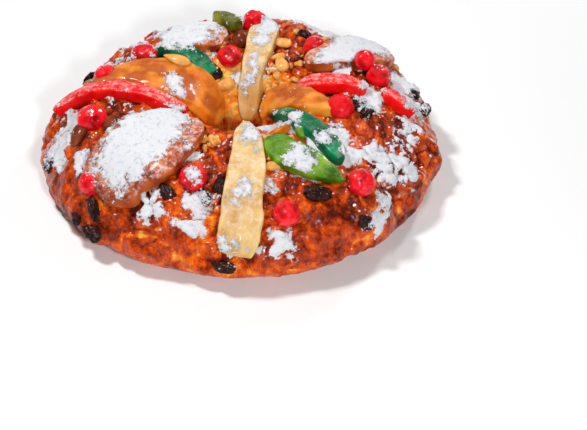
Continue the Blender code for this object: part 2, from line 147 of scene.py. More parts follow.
def three_noises(points, cell, seeds):
    """Three noises as one vector, which bends a pattern when points are moved along it."""
    return np.stack([value_noise(points, cell, seed) for seed in seeds], -1)


def pebble_noise(points, cell, seed):
    """Rounded pebbles, and the creases between them: 1 - d1^2, and how near d2 - d1 is to nothing.

    d1 and d2 are the distances to the nearest and the second nearest of the points strewn one to a cube.
    """
    scaled = points / cell
    corner = np.floor(scaled).astype(np.int64)
    nearest = np.full(points.shape[:-1], 9.0)
    second = nearest.copy()
    for step in itertools.product((-1, 0, 1), repeat=3):
        at = corner + step
        strewn = np.stack([lattice_random(at, seed + k) for k in range(3)], -1)
        distance = np.linalg.norm(at + 0.5 + 0.5 * strewn - scaled, axis=-1)
        second = np.minimum(second, np.maximum(nearest, distance))
        nearest = np.minimum(nearest, distance)
    return 1 - nearest**2, np.exp(-(((second - nearest) / CREASE_WIDTH) ** 2))


def smooth_step(low, high, value):
    """0 below low, 1 above high, and an S curve between them."""
    share = np.clip((value - low) / (high - low), 0, 1)
    return share * share * (3 - 2 * share)


def fold_depth(points, folds=FOLDS):
    """Depth of the folds: each is a bell exp(-run^4 - beside^2) pressed in at its place on the ring."""
    depth = np.zeros(points.shape[:-1])
    for around, across, length, width, deep in folds:
        here = at_degrees(around, across)
        middle = smooth_ring(*here)[0]
        down = unit(smooth_ring(here[0], here[1] + 0.01)[0] - middle)
        offset = (points - middle) / MM
        run = offset @ down
        beside = np.sqrt(np.maximum((offset**2).sum(-1) - run**2, 0))
        depth += deep * MM * np.exp(-((run / (length / 2)) ** 4) - (beside / (width / 2)) ** 2)
    return depth


def foot_fade(across):
    """1 over the crust, falling to 0 where the loaf turns under to its flat foot."""
    return np.clip(np.sin(across) * FOOT_SLOPE + 1, 0, 1)


def broad_relief(points, across):
    """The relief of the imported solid: lobes, lumps and crags less the folds, fading out on the flat foot."""
    lobes = LOBE[0] * value_noise(points, LOBE[1], NOISE_SEED)
    lumps = LUMP[0] * value_noise(points, LUMP[1], NOISE_SEED + 1)
    crags = CRAG[0] * (0.5 - 2 * np.abs(value_noise(points, CRAG[1], NOISE_SEED + 2)))
    return (lobes + lumps + crags - fold_depth(points)) * foot_fade(across)


def crack_share(points):
    """How near a point is to a crack, 0 to 1: cracks run where a warped noise crosses zero, in patches."""
    warp = three_noises(points, 9 * MM, (28, 29, 30))
    line = value_noise(points + 3.5 * MM * warp, 17 * MM, NOISE_SEED + 24)
    patch = smooth_step(-0.25, 0.35, value_noise(points, 33 * MM, NOISE_SEED + 25))
    return np.exp(-((line / 0.075) ** 2)) * patch


def fine_relief(points, across):
    """Height of pebbles, blisters and grain less the cracks, then the shares of crease and of crack."""
    warp = three_noises(points, 8 * MM, (38, 39, 40))
    pebbles, creases = pebble_noise(points + 4.0 * MM * warp, 14 * MM, NOISE_SEED + 41)
    small_pebbles, small_creases = pebble_noise(points + 2.5 * MM * warp, 6 * MM, NOISE_SEED + 51)
    rough = 0.20 + 0.80 * smooth_step(-0.4, 0.5, value_noise(points, 32 * MM, NOISE_SEED + 61))
    rough = rough * (0.55 + 0.45 * smooth_step(10, 40, np.degrees(across)))
    blisters = 0.5 * MM * value_noise(points, 6 * MM, NOISE_SEED + 11)
    grain = 0.30 * MM * value_noise(points, 2.6 * MM, NOISE_SEED + 12)
    cracks = crack_share(points)
    large = 3.6 * (pebbles - PEBBLE_LEVEL) - 2.2 * creases
    height = MM * rough * (large + 1.4 * (small_pebbles - PEBBLE_LEVEL) - 0.9 * small_creases)
    crease = np.clip(rough * (0.9 * creases + 0.4 * small_creases), 0, 1)
    return (height + blisters + grain - 1.8 * MM * cracks) * foot_fade(across), crease, cracks


# %% [markdown]
# From numbers to a mesh
#
# Every surface below is a grid of points. Its columns always close into a loop. Its rows either close too,
# as round the loaf, or end in two poles, as on a cherry. One helper turns such grids into a mesh, and
# another measures their normals, which the relief and the sugar need.

# %% Grid helpers
SKINS = []


def grid_normals(points, looped):
    """Unit normals of one grid or a stack: the cross product of the steps along rows and columns."""
    if looped:
        ahead = np.roll(points, -1, -3) - np.roll(points, 1, -3)
    else:
        ahead = np.gradient(points, axis=-3)
    beside = np.roll(points, -1, -2) - np.roll(points, 1, -2)
    return unit(np.cross(ahead, beside))


def grid_faces(rows, columns, looped):
    """Corner numbers of a grid's four-sided faces, then of the three-sided ones round its two poles."""
    row = np.arange(rows if looped else rows - 1)[:, None]
    column = np.arange(columns)[None, :]
    after, beside = (row + 1) % rows, (column + 1) % columns
    near, far = row * columns, after * columns
    quads = np.stack([near + column, far + column, far + beside, near + beside], -1)
    if looped:
        return quads.reshape(-1, 4), np.zeros((0, 3), int)
    column, beside = column[0], beside[0]
    first = np.full(columns, rows * columns)
    last_row = (rows - 1) * columns
    start = np.stack([first, column, beside], -1)
    end = np.stack([first + 1, last_row + beside, last_row + column], -1)
    return quads.reshape(-1, 4), np.vstack([start, end])


def with_poles(numbers, columns):
    """Numbers of a stack of open grids, with the means of the first and of the last row put after them."""
    ends = np.stack([numbers[:, :columns].mean(1), numbers[:, -columns:].mean(1)], 1)
    return np.concatenate([numbers, ends], 1)


def new_object(name, data):
    """An object made of data, linked to the scene."""
    made = bpy.data.objects.new(name, data)
    bpy.context.scene.collection.objects.link(made)
    return made


def add_piece(name, points, looped, finish, replaced, **values):
    """Join a stack of grids and its per-point values into one mesh, and hand the piece to the frame."""
    count, rows, columns = points.shape[:3]
    coords = points.reshape(count, -1, 3)
    values = {label: np.broadcast_to(part, points.shape[:3]) for label, part in values.items()}
    values = {label: part.reshape(count, -1) for label, part in values.items()}
    if not looped:
        coords = with_poles(coords, columns)
        values = {label: with_poles(part, columns) for label, part in values.items()}
    shift = np.arange(count)[:, None, None] * coords.shape[1]
    quads, triangles = grid_faces(rows, columns, looped)
    faces = (quads + shift).reshape(-1, 4).tolist() + (triangles + shift).reshape(-1, 3).tolist()
    mesh = bpy.data.meshes.new(name)
    mesh.from_pydata(coords.reshape(-1, 3).tolist(), [], faces)
    mesh.validate()
    for label, part in values.items():
        numbers = part.ravel().astype(np.float32)
        mesh.attributes.new(label, "FLOAT", "POINT").data.foreach_set("value", numbers)
    mesh.shade_smooth()
    mesh.materials.append(finish)
    piece = new_object(name, mesh)
    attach(piece, "root")
    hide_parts(*replaced)
    return piece


def skin(name, points, looped, finish, replaced, lift_sugar=0.9, less_sugar=0.0, **values):
    """Closed surfaces from one grid or a stack of them, with powder sugar raised where they face up."""
    points = points.reshape(-1, *points.shape[-3:])
    normals = grid_normals(points, looped)
    sugar = sugar_cover(points, normals) - less_sugar
    points = points + normals * (lift_sugar * MM * smooth_step(0.0, 0.3, sugar))[..., None]
    SKINS.append((points.reshape(-1, 3), normals.reshape(-1, 3), sugar.ravel()))
    upward = smooth_step(0.45, 0.9, normals[..., 2])
    return add_piece(name, points, looped, finish, replaced, **values, sugar=sugar, upward=upward)


# %% [markdown]
# Where the powder sugar lies
#
# Sugar is sieved over the baked cake, so it lies on what faces up, in drifts with crumbled edges. Each
# drift is an ellipse on the ring, and a point's cover is how far inside it lies, roughened by noise: above
# zero the sugar is thick, and a little below zero it is a thin dusting. All pieces share this rule, so a
# drift runs on from dough to fruit.

# %% Sugar drifts
# Each drift is around, across, half size around, half size across, turn and strength, in degrees and mm
DRIFTS = (
    (225, 80, 28, 40, 12, 2.3), (231, 54, 14, 12, 0, 0.7), (173, 113, 9, 7, 40, 0.8),
    (189, 48, 18, 8, 10, 0.8), (197, 33, 12, 10, 20, 0.6), (190, 85, 9, 5, 60, 0.7),
    (247, 88, 7, 6, 0, 0.9), (259, 54, 8, 8, 0, 0.8), (258, 37, 9, 4, 0, 0.7), (244, 43, 10, 9, 20, 0.9),
    (284, 29, 7, 11, 0, 0.9), (283, 65, 4, 5, 0, 0.8), (312, 18, 8, 6, 0, 0.7),
    (331, 40, 22, 15, -20, 1.15), (318, 29, 8, 7, 0, 0.9), (347, 49, 23, 10, 5, 1.1),
    (329, 61, 11, 7, 0, 1.0), (325, 82, 10, 8, 0, 0.9), (320, 68, 9, 8, 0, 0.9), (358, 78, 12, 10, 0, 0.9),
    (16, 48, 12, 13, 30, 0.8), (32, 74, 19, 32, 10, 2.2), (121, 89, 26, 22, 0, 1.8),
    (148, 66, 10, 16, 0, 0.6), (77, 92, 8, 20, 0, 0.9), (76, 128, 7, 12, 0, 0.5), (279, 96, 6, 11, 0, 0.8),
    (271, 25, 7, 6, 0, 0.4), (274, 60, 6, 8, 0, 0.4), (304, 118, 9, 12, 0, 0.8), (315, 103, 6, 6, 0, 0.8),
    (313, 84, 9, 9, 0, 1.0), (299, 76, 13, 11, 0, 1.0), (136, 92, 6, 6, 0, 0.7), (212, 45, 6, 5, 0, 0.6),
    (4, 46, 12, 10, 0, 0.5), (255, 68, 5, 5, 0, 0.9), (120, 40, 24, 16, 0, 0.6), (60, 45, 22, 16, 0, 0.7),
    (88, 55, 14, 14, 0, 0.7),
)
# A drift reaches this deep in mm, and its edge is roughened by noises of these strengths and widths in mm
DRIFT_DEPTH, EDGE_NOISE = 16, ((0.42, 8), (0.30, 3.2), (0.10, 1.4))
LEVEL_ENOUGH, STEEP_LOSS = 0.35, 2.2


def sugar_cover(points, normals):
    """The largest strength x (1 - distance in ellipse sizes) of a drift, plus noise, less on steep parts."""
    cover = np.full(points.shape[:-1], -1.0)
    for around, across, wide, deep, turn, strength in DRIFTS:
        here = at_degrees(around, across)
        east, north, up = (unit(part[0]) for part in ring_directions(*here))
        turned = math.radians(turn)
        first = east * math.cos(turned) + north * math.sin(turned)
        second = north * math.cos(turned) - east * math.sin(turned)
        offset = (points - smooth_ring(*here)[0]) / MM
        flat = (offset @ first / wide) ** 2 + (offset @ second / deep) ** 2
        distance = np.sqrt(flat + (offset @ up / DRIFT_DEPTH) ** 2)
        cover = np.maximum(cover, strength * (1 - distance))
    for number, (strength, width) in enumerate(EDGE_NOISE):
        cover += strength * value_noise(points, width * MM, 41 + number)
    return cover - STEEP_LOSS * np.clip(LEVEL_ENOUGH - normals[..., 2], 0, 2)


# %% [markdown]
# Finishes
#
# Every finish is one Principled shader, so that it can be baked for other programs. Its colour, roughness,
# coat and bump come from noise on Object coordinates and from the piece's own attributes. White sugar is
# mixed over them where the sugar attribute, made grainy by fine noise, is above zero.

# %% Node helpers
def add_node(tree, kind, inputs=None, **settings):
    """A node with its settings, whose inputs are numbers, colours or other nodes' sockets."""
    made = tree.nodes.new(kind)
    for key, value in settings.items():
        setattr(made, key, value)
    for key, value in (inputs or {}).items():
        if isinstance(value, bpy.types.NodeSocket):
            tree.links.new(value, made.inputs[key])
        else:
            made.inputs[key].default_value = value
    return made


def math_node(tree, operation, first, second, clamp=False):
    """Two values worked into one by the named operation."""
    inputs = {0: first, 1: second}
    return add_node(tree, "ShaderNodeMath", inputs, operation=operation, use_clamp=clamp).outputs[0]


def plus(tree, first, second, clamp=False):
    """The sum of two values, kept from 0 to 1 if clamped."""
    return math_node(tree, "ADD", first, second, clamp)


def times(tree, first, second):
    """The product of two values."""
    return math_node(tree, "MULTIPLY", first, second)


def noise(tree, size_mm, detail=2.0, roughness=0.5, stretch=(1, 1, 1)):
    """Noise from 0 to 1 on Object coordinates, with bumps about size_mm wide."""
    place = add_node(tree, "ShaderNodeTexCoord").outputs["Object"]
    turned = add_node(tree, "ShaderNodeMapping", {"Vector": place, "Scale": stretch}).outputs[0]
    inputs = {"Vector": turned, "Scale": 1000 / size_mm / 2, "Detail": detail, "Roughness": roughness}
    return add_node(tree, "ShaderNodeTexNoise", inputs).outputs[0]


def swing(tree, strength, *look):
    """Noise that swings round nothing by up to half the strength either way."""
    return times(tree, math_node(tree, "SUBTRACT", noise(tree, *look), 0.5), strength)


def remap(tree, value, low, high, new_low=0.0, new_high=1.0):
    """Value moved from low..high to new_low..new_high along an S curve."""
    inputs = {"Value": value, 1: low, 2: high, 3: new_low, 4: new_high}
    return add_node(tree, "ShaderNodeMapRange", inputs, interpolation_type="SMOOTHSTEP").outputs[0]


def patches(size_mm, low, high, detail=2, start=0.3, end=0.7):
    """A rule for a finish: patches that run from low to high as size_mm wide noise goes from start to end."""
    return lambda tree: remap(tree, noise(tree, size_mm, detail), start, end, low, high)


def attribute(tree, label):
    """A piece's own number, stored at its points."""
    return add_node(tree, "ShaderNodeAttribute", attribute_name=label).outputs["Fac"]


def ramp(tree, value, stops):
    """A colour that runs through the stops as value goes from 0 to 1."""
    made = add_node(tree, "ShaderNodeValToRGB", {0: value})
    band = made.color_ramp
    for spot, colour in stops[1:-1]:
        band.elements.new(spot).color = (*colour, 1)
    band.elements[0].position, band.elements[0].color = stops[0][0], (*stops[0][1], 1)
    band.elements[-1].position, band.elements[-1].color = stops[-1][0], (*stops[-1][1], 1)
    return made.outputs[0]


def mix_colour(tree, share, first, second):
    """First colour turning into the second as share goes from 0 to 1."""
    inputs = {0: share, 6: first, 7: second}
    return add_node(tree, "ShaderNodeMix", inputs, data_type="RGBA").outputs[2]


def mix_value(tree, share, first, second):
    """First number turning into the second as share goes from 0 to 1."""
    inputs = {0: share, 2: first, 3: second}
    return add_node(tree, "ShaderNodeMix", inputs, data_type="FLOAT").outputs[0]


# %% [markdown]
# Sugar over a finish
#
# Thick powder sugar is nearly pure white and matte, with greyer patches painted in as the shade between
# its clumps. A thin dusting shows as separate specks. Both come from the same attribute: the thick part has
# a sharp edge, and the dusting fades out.

# %% Finish maker
# SUGAR_SHADE is a grey painted in as the shade between the sugar's clumps
SUGAR_WHITE, SUGAR_SHADE = (0.79, 0.795, 0.835, 1), (0.56, 0.57, 0.63, 1)
SUGAR_ROUGH, SUGAR_SOFT = 0.95, 0.15
# The grain at a drift's edge is strong, and cover counts up to a limit, so that thick sugar has holes too
EDGE_GRAIN, FULL_COVER = 2.0, 0.42
DUST_STRENGTH = 0.75
# A glaze of sugar syrup or egg bends light less than glass, and the body under it hardly shines by itself
BODY_IOR, GLAZE_IOR, BODY_SHINE = 1.45, 1.38, 0.08
LIGHT_REACH = 4 * MM
BUMP_HEIGHT, GLAZE_BUMP = MM, 0.22 * MM


def make_finish(
    name, colour, relief_height, relief_mm, rough, coat, soft, soft_radius, coat_rough=0.12
):
    """A Principled finish under sugar. Colour, relief, roughness and coat are rules that add their own nodes.

    Sugar is thick where cover + grain is above zero, and dust shows where speck + cover is above one.
    """
    made = bpy.data.materials.new(name)
    made.use_nodes = True
    tree = made.node_tree
    shader = tree.nodes["Principled BSDF"]
    cover = attribute(tree, "sugar")
    edge = plus(tree, math_node(tree, "MINIMUM", cover, FULL_COVER), swing(tree, EDGE_GRAIN, 1.0, 5, 0.85))
    thick = remap(tree, edge, -0.02, 0.04)
    near = remap(tree, cover, -0.6, 0.2, 0.20, 0.54)
    dust = times(tree, remap(tree, plus(tree, noise(tree, 1.0, 2, 0.6), near), 1.02, 1.12), DUST_STRENGTH)
    share = math_node(tree, "MAXIMUM", thick, dust)
    # Noise mixes SUGAR_SHADE into the white: painted shade between the clumps, placed apart from the bump
    white = mix_colour(tree, remap(tree, noise(tree, 1.6, 4, 0.7), 0.50, 0.72), SUGAR_WHITE, SUGAR_SHADE)
    clumps = times(tree, noise(tree, 1.8, 5, 0.8), 1.8)
    height = mix_value(tree, thick, times(tree, relief_height(tree), relief_mm), clumps)
    bumps = [
        add_node(tree, "ShaderNodeBump", {"Height": height, "Strength": 1.0, "Distance": distance}).outputs[0]
        for distance in (BUMP_HEIGHT, GLAZE_BUMP)
    ]
    linked = {
        "Base Color": mix_colour(tree, share, colour(tree), white),
        "Roughness": mix_value(tree, share, rough(tree), SUGAR_ROUGH),
        "Coat Weight": mix_value(tree, share, coat(tree), 0.0),
        "Normal": bumps[0],
        "Coat Normal": bumps[1],
    }
    if soft:
        linked["Subsurface Weight"] = mix_value(tree, share, soft, SUGAR_SOFT)
        shader.inputs["Subsurface Radius"].default_value = soft_radius
        shader.inputs["Subsurface Scale"].default_value = LIGHT_REACH
    for socket, value in linked.items():
        tree.links.new(value, shader.inputs[socket])
    shader.inputs["Coat Roughness"].default_value = coat_rough
    shader.inputs["Coat IOR"].default_value = GLAZE_IOR
    shader.inputs["IOR"].default_value = BODY_IOR
    shader.inputs["Specular IOR Level"].default_value = BODY_SHINE
    return made


# %% [markdown]
# The crust's finish
#
# Egg wash gives the crust a shine and makes it brown unevenly. What stands out turns deep red-brown, the
# cracks stay golden, and so does the back wall of the hole, which the heat hardly reaches. The creases
# between the pebbles and the faint lines between flakes are darker, as painted shade. The bake
# attribute carries the browning and the creases' painted shade, and noise adds the spots.

# %% Crust finish
CRUST_STOPS = (
    (0.00, (0.90, 0.55, 0.13)),
    (0.18, (0.88, 0.35, 0.032)),
    (0.36, (0.84, 0.150, 0.006)),
    (0.56, (0.62, 0.062, 0.003)),
    (0.78, (0.30, 0.026, 0.002)),
    (1.00, (0.08, 0.007, 0.001)),
)
FLAKE_MM, SWIRL = 4.5, (0.004, 0.004, 0.004)


def flakes(tree):
    """Distance to the nearest of strewn points, swirled by noise: flakes with creases between them."""
    place = add_node(tree, "ShaderNodeTexCoord").outputs["Object"]
    noises = add_node(tree, "ShaderNodeTexNoise", {"Vector": place, "Scale": 300.0, "Detail": 2.0})
    swirl = add_node(tree, "ShaderNodeVectorMath", {0: noises.outputs[1], 1: SWIRL}, operation="MULTIPLY")
    moved = add_node(tree, "ShaderNodeVectorMath", {0: place, 1: swirl.outputs[0]}, operation="ADD")
    inputs = {"Vector": moved.outputs[0], "Scale": 1000 / FLAKE_MM}
    return add_node(tree, "ShaderNodeTexVoronoi", inputs).outputs["Distance"]


def crust_colour(tree):
    """Bake and painted crease shade, spots, and painted shade on the lines between flakes, ramped to brown."""
    # Painted shade: darker lines where the flakes' bump sinks between them
    flake_line_shade = remap(tree, flakes(tree), 0.50, 0.85, 0.0, 0.12)
    spots = swing(tree, 1.6, 3.0, 6, 0.78, (1, 1, 0.6))
    blots = swing(tree, 0.6, 9, 3, 0.6)
    shades = plus(tree, plus(tree, spots, blots), flake_line_shade)
    return ramp(tree, plus(tree, attribute(tree, "bake"), shades, clamp=True), CRUST_STOPS)


def crust_height(tree):
    """Flakes and fine blisters over the modelled relief, flatter on the stretched skin of the sides."""
    blisters = plus(tree, noise(tree, 2.0, 2, 0.55), times(tree, noise(tree, 6, 1), 1.6))
    flatter = remap(tree, attribute(tree, "upward"), 0, 1, 0.5, 1.0)
    return times(tree, plus(tree, times(tree, flakes(tree), -0.9), blisters), flatter)


def crust_wash(tree):
    """Egg wash, thick on top and thin on the sides."""
    return remap(tree, attribute(tree, "upward"), 0, 0.6, 0.45, 1.0)


crust = make_finish(
    "crust", crust_colour, crust_height, 1.7, patches(5, 0.20, 0.45, 3, 0.35),
    crust_wash, soft=0.04, soft_radius=(1.0, 0.4, 0.1), coat_rough=0.04,
)

# %% [markdown]
# Candied fruit
#
# Peel and fruit are boiled in syrup until they turn glassy, then cut into strips and slabs. Each piece here
# is a rounded section carried along a path over the dough. The path's stations give around, across, lift
# and half width, so a strip can taper, bend and climb over its neighbour.

# %% Candied fruit surface
# How deep laid fruit reaches into its bed, the step between its rows, and the share by which it is domed
SINK, ROW_STEP, CROWN = 4 * MM, 0.55 * MM, 0.04
# Shares of a path: where its outline rounds, where its section closes, and how far its direction is measured
ROUND_END, CLOSED_END, LOOK_AHEAD = 0.15, 0.03, 0.09


def smooth_path(stations, share):
    """Stations read as one smooth curve (Catmull-Rom) at share 0 to 1 of its length."""
    table = np.array(stations, float)
    spot = share * (len(table) - 1)
    left = np.clip(np.floor(spot).astype(int), 0, len(table) - 2)
    t = (spot - left)[..., None]
    padded = np.vstack([2 * table[0] - table[1], table, 2 * table[-1] - table[-2]])
    a, b, c, d = (padded[left + i] for i in range(4))
    return b + 0.5 * t * (c - a + t * (2 * a - 5 * b + 4 * c - d + t * (3 * (b - c) + d - a)))


def bed_height(base):
    """Height of the dough's lobes less most of its broad folds: laid fruit bridges all that is narrower."""
    return LOBE[0] * value_noise(base, LOBE[1], NOISE_SEED) - 0.8 * fold_depth(base, BROAD_FOLDS)


def laid_point(around, across, lift):
    """A point at a lift over the bed."""
    base = smooth_ring(around, across)
    return base + ring_directions(around, across)[2] * (bed_height(base) + lift)[..., None]


def slab_section(columns, power):
    """A rounded oblong: a superellipse, |side|^power + |tall|^power = 1, with most points on its top."""
    corners = np.radians([-45, 45, 135, 225, 315])
    turn = np.interp(np.linspace(0, 1, columns, endpoint=False), (0, 0.16, 0.68, 0.84, 1), corners)
    radius = (np.abs(np.cos(turn)) ** power + np.abs(np.sin(turn)) ** power) ** (-1 / power)
    return radius * np.cos(turn), radius * np.sin(turn)


def path_length(stations):
    """Length of a path over the dough: the sum of the steps between points along it."""
    at = smooth_path(stations, np.linspace(0, 1, 60))
    line = laid_point(np.radians(at[:, 0]), np.radians(at[:, 1]), at[:, 2] * MM)
    return np.linalg.norm(np.diff(line, axis=0), axis=1).sum()


def to_end(share, length):
    """How near a point of the path is to one of its ends: 1 there, and 0 from length on."""
    return np.clip(1 - np.minimum(share, 1 - share) / length, 0, 1)


def fruit_points(stations, thickness, power, ends, seed):
    """A slab section carried over the dough along the path, with fibres, lumps and an uneven outline.

    Near an end the half width shrinks by sqrt(1 - (1 - left^2) x nearness^2), with left the share left there.
    """
    rows = int(np.clip(path_length(stations) / ROW_STEP, 70, 190))
    columns = int(72 + 2 * max(station[3] for station in stations))
    share = (1 - np.cos(np.linspace(0.02, np.pi - 0.02, rows))) / 2
    section_side, section_tall = slab_section(columns, power)
    at = smooth_path(stations, share)
    around, across = np.radians(at[:, :1]), np.radians(at[:, 1:2])
    lift, half = at[:, 2:3] * MM, at[:, 3:4] * MM
    left = np.where(share < 0.5, *ends)[:, None]
    half = half * np.sqrt(1 - (1 - left**2) * to_end(share, ROUND_END)[:, None] ** 2)
    close = (1 - to_end(share, CLOSED_END) ** 3) ** (1 / 3)
    side = section_side[None, :] * close[:, None]
    tall = (1 + section_tall[None, :] * close[:, None]) / 2
    rim = np.stack(np.broadcast_arrays(share[:, None] * 9, 2 * side, 0.37 * seed), -1)
    half = half * (1 + 0.07 * value_noise(rim, 1.0, seed) + 0.02 * value_noise(rim, 0.3, seed + 7))
    after, before = (smooth_path(stations, np.clip(share + step, 0, 1)) for step in (LOOK_AHEAD, -LOOK_AHEAD))
    ahead = after - before
    east, north, normal = ring_directions(around[:, 0], across[:, 0], step=0.2)
    run = unit(np.radians(ahead[:, :1]) * east + np.radians(ahead[:, 1:2]) * north)
    beside = np.cross(normal, run)
    shift_around = (beside * east).sum(1, keepdims=True) / (east**2).sum(1, keepdims=True)
    shift_across = (beside * north).sum(1, keepdims=True) / (north**2).sum(1, keepdims=True)
    around = around + shift_around * side * half
    across = across + shift_across * side * half
    dome = (thickness * MM) * (1 + CROWN * (1 - side**2)) / (1 + CROWN)
    points = laid_point(around, across, lift - SINK + tall * (SINK + dome))
    steps = np.diff(points.mean(1), axis=0, prepend=points[:1].mean(1))
    distance = np.cumsum(np.linalg.norm(steps, axis=1))[:, None]
    fibre = np.stack(np.broadcast_arrays(distance / (14 * MM), side * half / (2.2 * MM), tall * 3), -1)
    points = points[:, ::-1]
    knobbly = 4 if power < 3 else 1
    small_lumps = 0.15 * knobbly * MM * value_noise(points, (3 + knobbly) * MM, seed + 2)
    lumps = 0.4 * MM * value_noise(points, 12 * MM, seed + 1) + small_lumps
    ribs = 0.16 * MM * value_noise(fibre[:, ::-1], 1.0, seed + 3)
    return points + grid_normals(points, False) * (lumps + ribs)[..., None]


# %% [markdown]
# The fruit's finish
#
# Candied fruit looks lit from inside: light enters, spreads and comes out coloured. Subsurface scattering
# gives that, and a clear coat gives the sticky shine. Each fruit has three tones of its own, mixed by noise
# and veins, and a frost of fine sugar crystals on top.

# %% Fruit finishes
FROST_WHITE = (0.85, 0.74, 0.72, 1)


def fruit_finish(name, pale, main, deep, shine, radius, frost, caramel=0.0):
    """A glassy finish: three tones of one colour mixed by noise, deeper on top by caramel, under frost."""

    def colour(tree):
        tone = plus(tree, noise(tree, 9, 4, 0.6), times(tree, attribute(tree, "vein"), 0.30))
        if caramel:
            tone = math_node(tree, "SUBTRACT", tone, times(tree, attribute(tree, "upward"), caramel))
        body = ramp(tree, tone, ((0.25, deep), (0.50, main), (0.85, pale)))
        crystals = remap(tree, noise(tree, 1.8, 5, 0.75), 0.40, 0.72, 0.0, frost)
        return mix_colour(tree, times(tree, attribute(tree, "upward"), crystals), body, FROST_WHITE)

    return make_finish(
        name, colour, lambda tree: plus(tree, noise(tree, 2.2, 3), noise(tree, 0.9, 2)), 0.22,
        patches(5, 0.20, 0.45), patches(7, 0.6 * shine, shine, end=0.6), 0.75, radius, coat_rough=0.06,
    )


red_peel = fruit_finish(
    "red_peel", (0.90, 0.020, 0.018), (0.85, 0.006, 0.006), (0.62, 0.002, 0.003),
    shine=0.3, radius=(1.5, 0.12, 0.08), frost=0.6,
)
green_peel = fruit_finish(
    "green_peel", (0.01, 0.34, 0.14), (0.002, 0.17, 0.065), (0.001, 0.07, 0.03),
    shine=0.4, radius=(0.2, 1.0, 0.4), frost=0.15,
)
light_green = fruit_finish(
    "light_green_slab", (0.24, 0.44, 0.02), (0.085, 0.23, 0.005), (0.04, 0.12, 0.003),
    shine=0.4, radius=(0.5, 1.2, 0.2), frost=0.15,
)
olive_fruit = fruit_finish(
    "olive_fruit", (0.30, 0.28, 0.02), (0.11, 0.12, 0.008), (0.03, 0.04, 0.004),
    shine=0.4, radius=(0.8, 0.8, 0.2), frost=0.2,
)
pale_fruit = fruit_finish(
    "pale_fruit", (0.75, 0.56, 0.26), (0.68, 0.44, 0.16), (0.60, 0.35, 0.10),
    shine=0.2, radius=(1.4, 0.9, 0.4), frost=0.65,
)
orange_peel = fruit_finish(
    "orange_peel", (0.86, 0.38, 0.055), (0.74, 0.22, 0.012), (0.46, 0.095, 0.006),
    shine=0.6, radius=(1.6, 0.5, 0.1), frost=0.10, caramel=0.16,
)
amber_fruit = fruit_finish(
    "amber_fruit", (0.62, 0.17, 0.036), (0.40, 0.070, 0.013), (0.20, 0.028, 0.006),
    shine=0.25, radius=(1.2, 0.4, 0.15), frost=0.75,
)

# %% Lay the fruit
# Each row is name, finish, thickness in mm, power of the section (2 is round, 8 a crisp slab), shares of the
# width left at the two ends, and the stations: around, across, lift and half width, in degrees and mm
FRUIT = (
    ("orange_slice_left", orange_peel, 7, 4, (0.5, 0.5), (
        (176, 62, 0, 3), (169, 72, 1, 9), (163, 88, 1, 15), (161, 108, 2, 19), (160, 128, 3, 19),
        (160, 148, 3, 16), (158, 166, 2, 13),
    )),
    ("orange_slice_right", orange_peel, 7, 4, (0.5, 0.5), (
        (28, 162, 1, 8), (18, 146, 2, 11), (2, 130, 2, 13), (-11, 112, 2, 11), (-17, 98, 1, 7),
        (-20, 88, 0, 3),
    )),
    ("pale_strip_back", pale_fruit, 5, 8, (0.5, 0.5), (
        (80, 74, 2, 3), (79, 84, 2, 10), (77, 102, 2, 10), (76, 124, 2, 9), (75, 148, 2, 9),
        (74, 172, 1, 8),
    )),
    ("pale_strip_front", pale_fruit, 6, 8, (0.4, 0.8), (
        (279, 116, 2, 3), (277, 98, 2, 9), (275, 76, 2, 12), (273, 52, 2, 13), (272, 34, 2, 13),
        (271, 19, 1, 12),
    )),
    ("amber_slab_left", amber_fruit, 6, 8, (0.9, 0.6), (
        (224, 110, 2, 12), (228, 96, 3, 22), (229, 78, 3, 29), (228, 58, 2, 28), (226, 36, 0, 22),
    )),
    ("amber_slab_rear", amber_fruit, 7, 8, (0.7, 0.7), (
        (133, 82, 1, 8), (125, 85, 3, 15), (115, 91, 3, 18), (107, 96, 2, 14), (102, 99, 0, 8),
    )),
    ("amber_slab_right", amber_fruit, 7, 8, (0.7, 0.7), (
        (37, 102, 1, 5), (34, 90, 3, 12), (32, 76, 3, 17), (31, 62, 3, 18), (30, 47, 3, 12),
    )),
    ("red_strip_left", red_peel, 6, 8, (0.4, 0.8), (
        (180, 36, 1, 3), (179, 50, 2, 6), (178, 72, 3, 6), (183, 92, 3, 6), (195, 106, 3, 6),
        (213, 116, 3, 5),
    )),
    ("red_strip_back", red_peel, 6, 8, (0.4, 0.7), (
        (6, 126, 1, 2), (11, 108, 3, 6), (8, 94, 3, 7), (0, 80, 2, 4),
    )),
    ("red_strip_right", red_peel, 6, 8, (0.5, 0.5), ((2, 70, 1, 3), (0, 58, 1, 6), (-2, 46, 0, 4))),
    ("green_strip_rear", green_peel, 6, 8, (0.6, 0.9), (
        (138, 84, 1, 4), (133, 96, 3, 6), (130, 110, 3, 7), (128, 127, 2, 7),
    )),
    ("green_strip_front", green_peel, 6, 4, (0.5, 0.7), (
        (-28, 142, 2, 3), (-38, 112, 3, 6), (-41, 96, 3, 7), (-45, 80, 2, 7), (-48, 66, 1, 4),
    )),
    ("light_slab_front", light_green, 4.5, 5, (0.7, 0.1), (
        (293, 97, 2, 8), (296, 84, 3, 13), (302, 70, 3, 10), (308, 54, 1, 2),
    )),
    ("olive_lump_rear", olive_fruit, 8, 2.3, (0.6, 0.6), ((102, 66, 3, 5), (98, 74, 4, 7), (92, 84, 3, 5))),
)
# Bits too small to be nodes of their own
FRUIT_BITS = (
    ("orange_peel_bit", orange_peel, 3, 8, (0.6, 0.6), (
        (287, 95, 3, 1), (293, 99, 3, 1.6), (302, 103, 3, 1.7), (311, 104, 3, 1),
    )),
    ("light_green_bit", light_green, 3, 8, (0.6, 0.6), (
        (308, 91, 2, 1.5), (311, 96, 3, 2.6), (314, 101, 2, 1.5),
    )),
)

